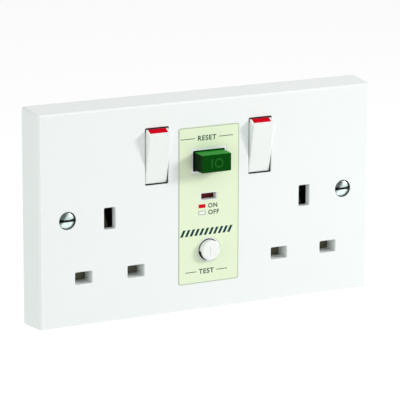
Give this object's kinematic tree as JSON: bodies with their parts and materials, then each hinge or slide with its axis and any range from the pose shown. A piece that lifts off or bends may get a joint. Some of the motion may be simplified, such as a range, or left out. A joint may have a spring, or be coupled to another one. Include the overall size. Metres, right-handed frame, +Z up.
{
  "type": "rcd twin wall socket",
  "caption": "Flush wall socket with switched outlets side by side, a residual current trip with reset and test buttons, and a wall-box fixing.",
  "frame": {"origin": "middle of the plate in the plane of the wall, midway between the fixing screws", "axes": "+X along the plate to the right as seen from the front, +Z up, -Y out of the wall towards the user"},
  "size_m": [0.146, 0.0437, 0.086],
  "materials": {
    "plate_white": "gloss",
    "rocker_white": "gloss",
    "signal_red": "gloss",
    "label_cream": "satin",
    "reset_green": "gloss",
    "test_white": "gloss",
    "shutter_white": "matte",
    "housing_grey": "matte",
    "mechanism_black": "matte",
    "screw_nickel": "polished",
    "zinc_steel": "satin",
    "brass": "satin",
    "winding_copper": "gloss",
    "ferrite": "matte",
    "board_green": "satin",
    "capacitor_sleeve": "gloss",
    "live_brown": "satin",
    "neutral_blue": "satin"
  },
  "bodies": {
    "fixed": {"front_plate": "plate_white", "label_panel": "label_cream", "fixing_screws": "screw_nickel", "test_leaf": "brass", "test_contact": "brass", "inner_deck": "housing_grey", "left_shutter_spring": "zinc_steel", "right_shutter_spring": "zinc_steel", "reset_spring": "zinc_steel", "opening_springs": "zinc_steel", "live_clips": "brass", "neutral_clips": "brass", "earth_clips": "brass", "supply_terminals": "brass", "earth_terminals": "brass", "terminal_screws": "zinc_steel", "earth_strap": "brass", "neutral_busbar": "brass", "live_busbar": "brass", "feed_strips": "brass", "pivot_brackets": "brass", "left_switched_strip": "brass", "right_switched_strip": "brass", "guide_pins": "zinc_steel", "lever_pins": "zinc_steel", "solenoid_yoke": "zinc_steel", "solenoid_bobbin": "mechanism_black", "solenoid_winding": "winding_copper", "sensing_core": "ferrite", "sensing_winding": "winding_copper", "circuit_board": "board_green", "board_components": "mechanism_black", "board_capacitor": "capacitor_sleeve", "live_wire": "live_brown", "neutral_wire": "neutral_blue", "rear_housing": "housing_grey", "housing_screws": "zinc_steel"},
    "left_rocker_body": {"left_rocker": "rocker_white", "left_rocker_red_inlay": "signal_red", "left_plunger_spring": "zinc_steel"},
    "left_plunger_body": {"left_rocker_plunger": "mechanism_black"},
    "left_seesaw_body": {"left_seesaw_contact": "brass"},
    "left_shutter_body": {"left_shutter": "shutter_white"},
    "right_rocker_body": {"right_rocker": "rocker_white", "right_rocker_red_inlay": "signal_red", "right_plunger_spring": "zinc_steel"},
    "right_plunger_body": {"right_rocker_plunger": "mechanism_black"},
    "right_seesaw_body": {"right_seesaw_contact": "brass"},
    "right_shutter_body": {"right_shutter": "shutter_white"},
    "reset_body": {"reset_button": "reset_green"},
    "reset_lever_body": {"reset_lever": "mechanism_black"},
    "test_body": {"test_button": "test_white"},
    "carrier_body": {"contact_carrier": "mechanism_black", "live_contact_bridge": "brass", "neutral_contact_bridge": "brass", "contact_springs": "zinc_steel"},
    "flag_body": {"flag_indicator": "test_white", "flag_red_face": "signal_red"},
    "latch_body": {"latch_lever": "mechanism_black"},
    "plunger_body": {"solenoid_plunger": "zinc_steel"}
  },
  "joints": [
    {"name": "left_switch", "type": "hinge", "parent": "fixed", "child": "left_rocker_body", "pos_m": [-0.0225, -0.0112, 0.02145], "axis": [-1, 0, 0], "range_deg": [0, 23.6]},
    {"name": "left_seesaw", "type": "hinge", "parent": "fixed", "child": "left_seesaw_body", "pos_m": [-0.0225, 0.0057, 0.02145], "axis": [1, 0, 0], "range_deg": [0, 24]},
    {"name": "left_plunger", "type": "slide", "parent": "left_rocker_body", "child": "left_plunger_body", "axis": [0, -0.9789, -0.2045], "range_m": [0, 0.0008], "stiffness_N_per_m": 800, "springref_m": -0.0008, "deforming": ["left_plunger_spring"]},
    {"name": "left_shutter_slide", "type": "slide", "parent": "fixed", "child": "left_shutter_body", "axis": [0, 0, -1], "range_m": [0, 0.0057], "stiffness_N_per_m": 150, "springref_m": -0.002, "deforming": ["left_shutter_spring"]},
    {"name": "right_switch", "type": "hinge", "parent": "fixed", "child": "right_rocker_body", "pos_m": [0.0225, -0.0112, 0.02145], "axis": [-1, 0, 0], "range_deg": [0, 23.6]},
    {"name": "right_seesaw", "type": "hinge", "parent": "fixed", "child": "right_seesaw_body", "pos_m": [0.0225, 0.0057, 0.02145], "axis": [1, 0, 0], "range_deg": [0, 24]},
    {"name": "right_plunger", "type": "slide", "parent": "right_rocker_body", "child": "right_plunger_body", "axis": [0, -0.9789, -0.2045], "range_m": [0, 0.0008], "stiffness_N_per_m": 800, "springref_m": -0.0008, "deforming": ["right_plunger_spring"]},
    {"name": "right_shutter_slide", "type": "slide", "parent": "fixed", "child": "right_shutter_body", "axis": [0, 0, -1], "range_m": [0, 0.0057], "stiffness_N_per_m": 150, "springref_m": -0.002, "deforming": ["right_shutter_spring"]},
    {"name": "reset", "type": "slide", "parent": "fixed", "child": "reset_body", "axis": [0, 1, 0], "range_m": [0, 0.003], "stiffness_N_per_m": 600, "springref_m": -0.002, "deforming": ["reset_spring"]},
    {"name": "reset_lever_turn", "type": "hinge", "parent": "fixed", "child": "reset_lever_body", "pos_m": [-0.00275, 0.00767, 0.0116], "axis": [-1, 0, 0], "range_deg": [0, 28.66]},
    {"name": "test", "type": "slide", "parent": "fixed", "child": "test_body", "axis": [0, 1, 0], "range_m": [0, 0.0016], "stiffness_N_per_m": 900, "springref_m": -0.001, "deforming": ["test_leaf"]},
    {"name": "trip", "type": "slide", "parent": "fixed", "child": "carrier_body", "axis": [0, -1, 0], "range_m": [-0.003, 0]},
    {"name": "flag_slide", "type": "slide", "parent": "fixed", "child": "flag_body", "axis": [0, 0, 1], "range_m": [-0.0038, 0]},
    {"name": "latch_turn", "type": "hinge", "parent": "fixed", "child": "latch_body", "pos_m": [0.008, 0.0015, 0.009], "axis": [-1, 0, 0], "range_deg": [-16.6, 0]},
    {"name": "solenoid_draw", "type": "slide", "parent": "fixed", "child": "plunger_body", "axis": [0, 0, -1], "range_m": [-0.0035, 0]}
  ],
  "couplings": [
    {"joint": "left_seesaw", "follows": "left_switch", "ratio": 1.0169},
    {"joint": "right_seesaw", "follows": "right_switch", "ratio": 1.0169},
    {"joint": "reset_lever_turn", "follows": "reset", "rad_per_m": 166.67},
    {"joint": "flag_slide", "follows": "trip", "ratio": 1.2667},
    {"joint": "latch_turn", "follows": "trip", "rad_per_m": 95.993},
    {"joint": "solenoid_draw", "follows": "trip", "ratio": 1.1667}
  ]
}
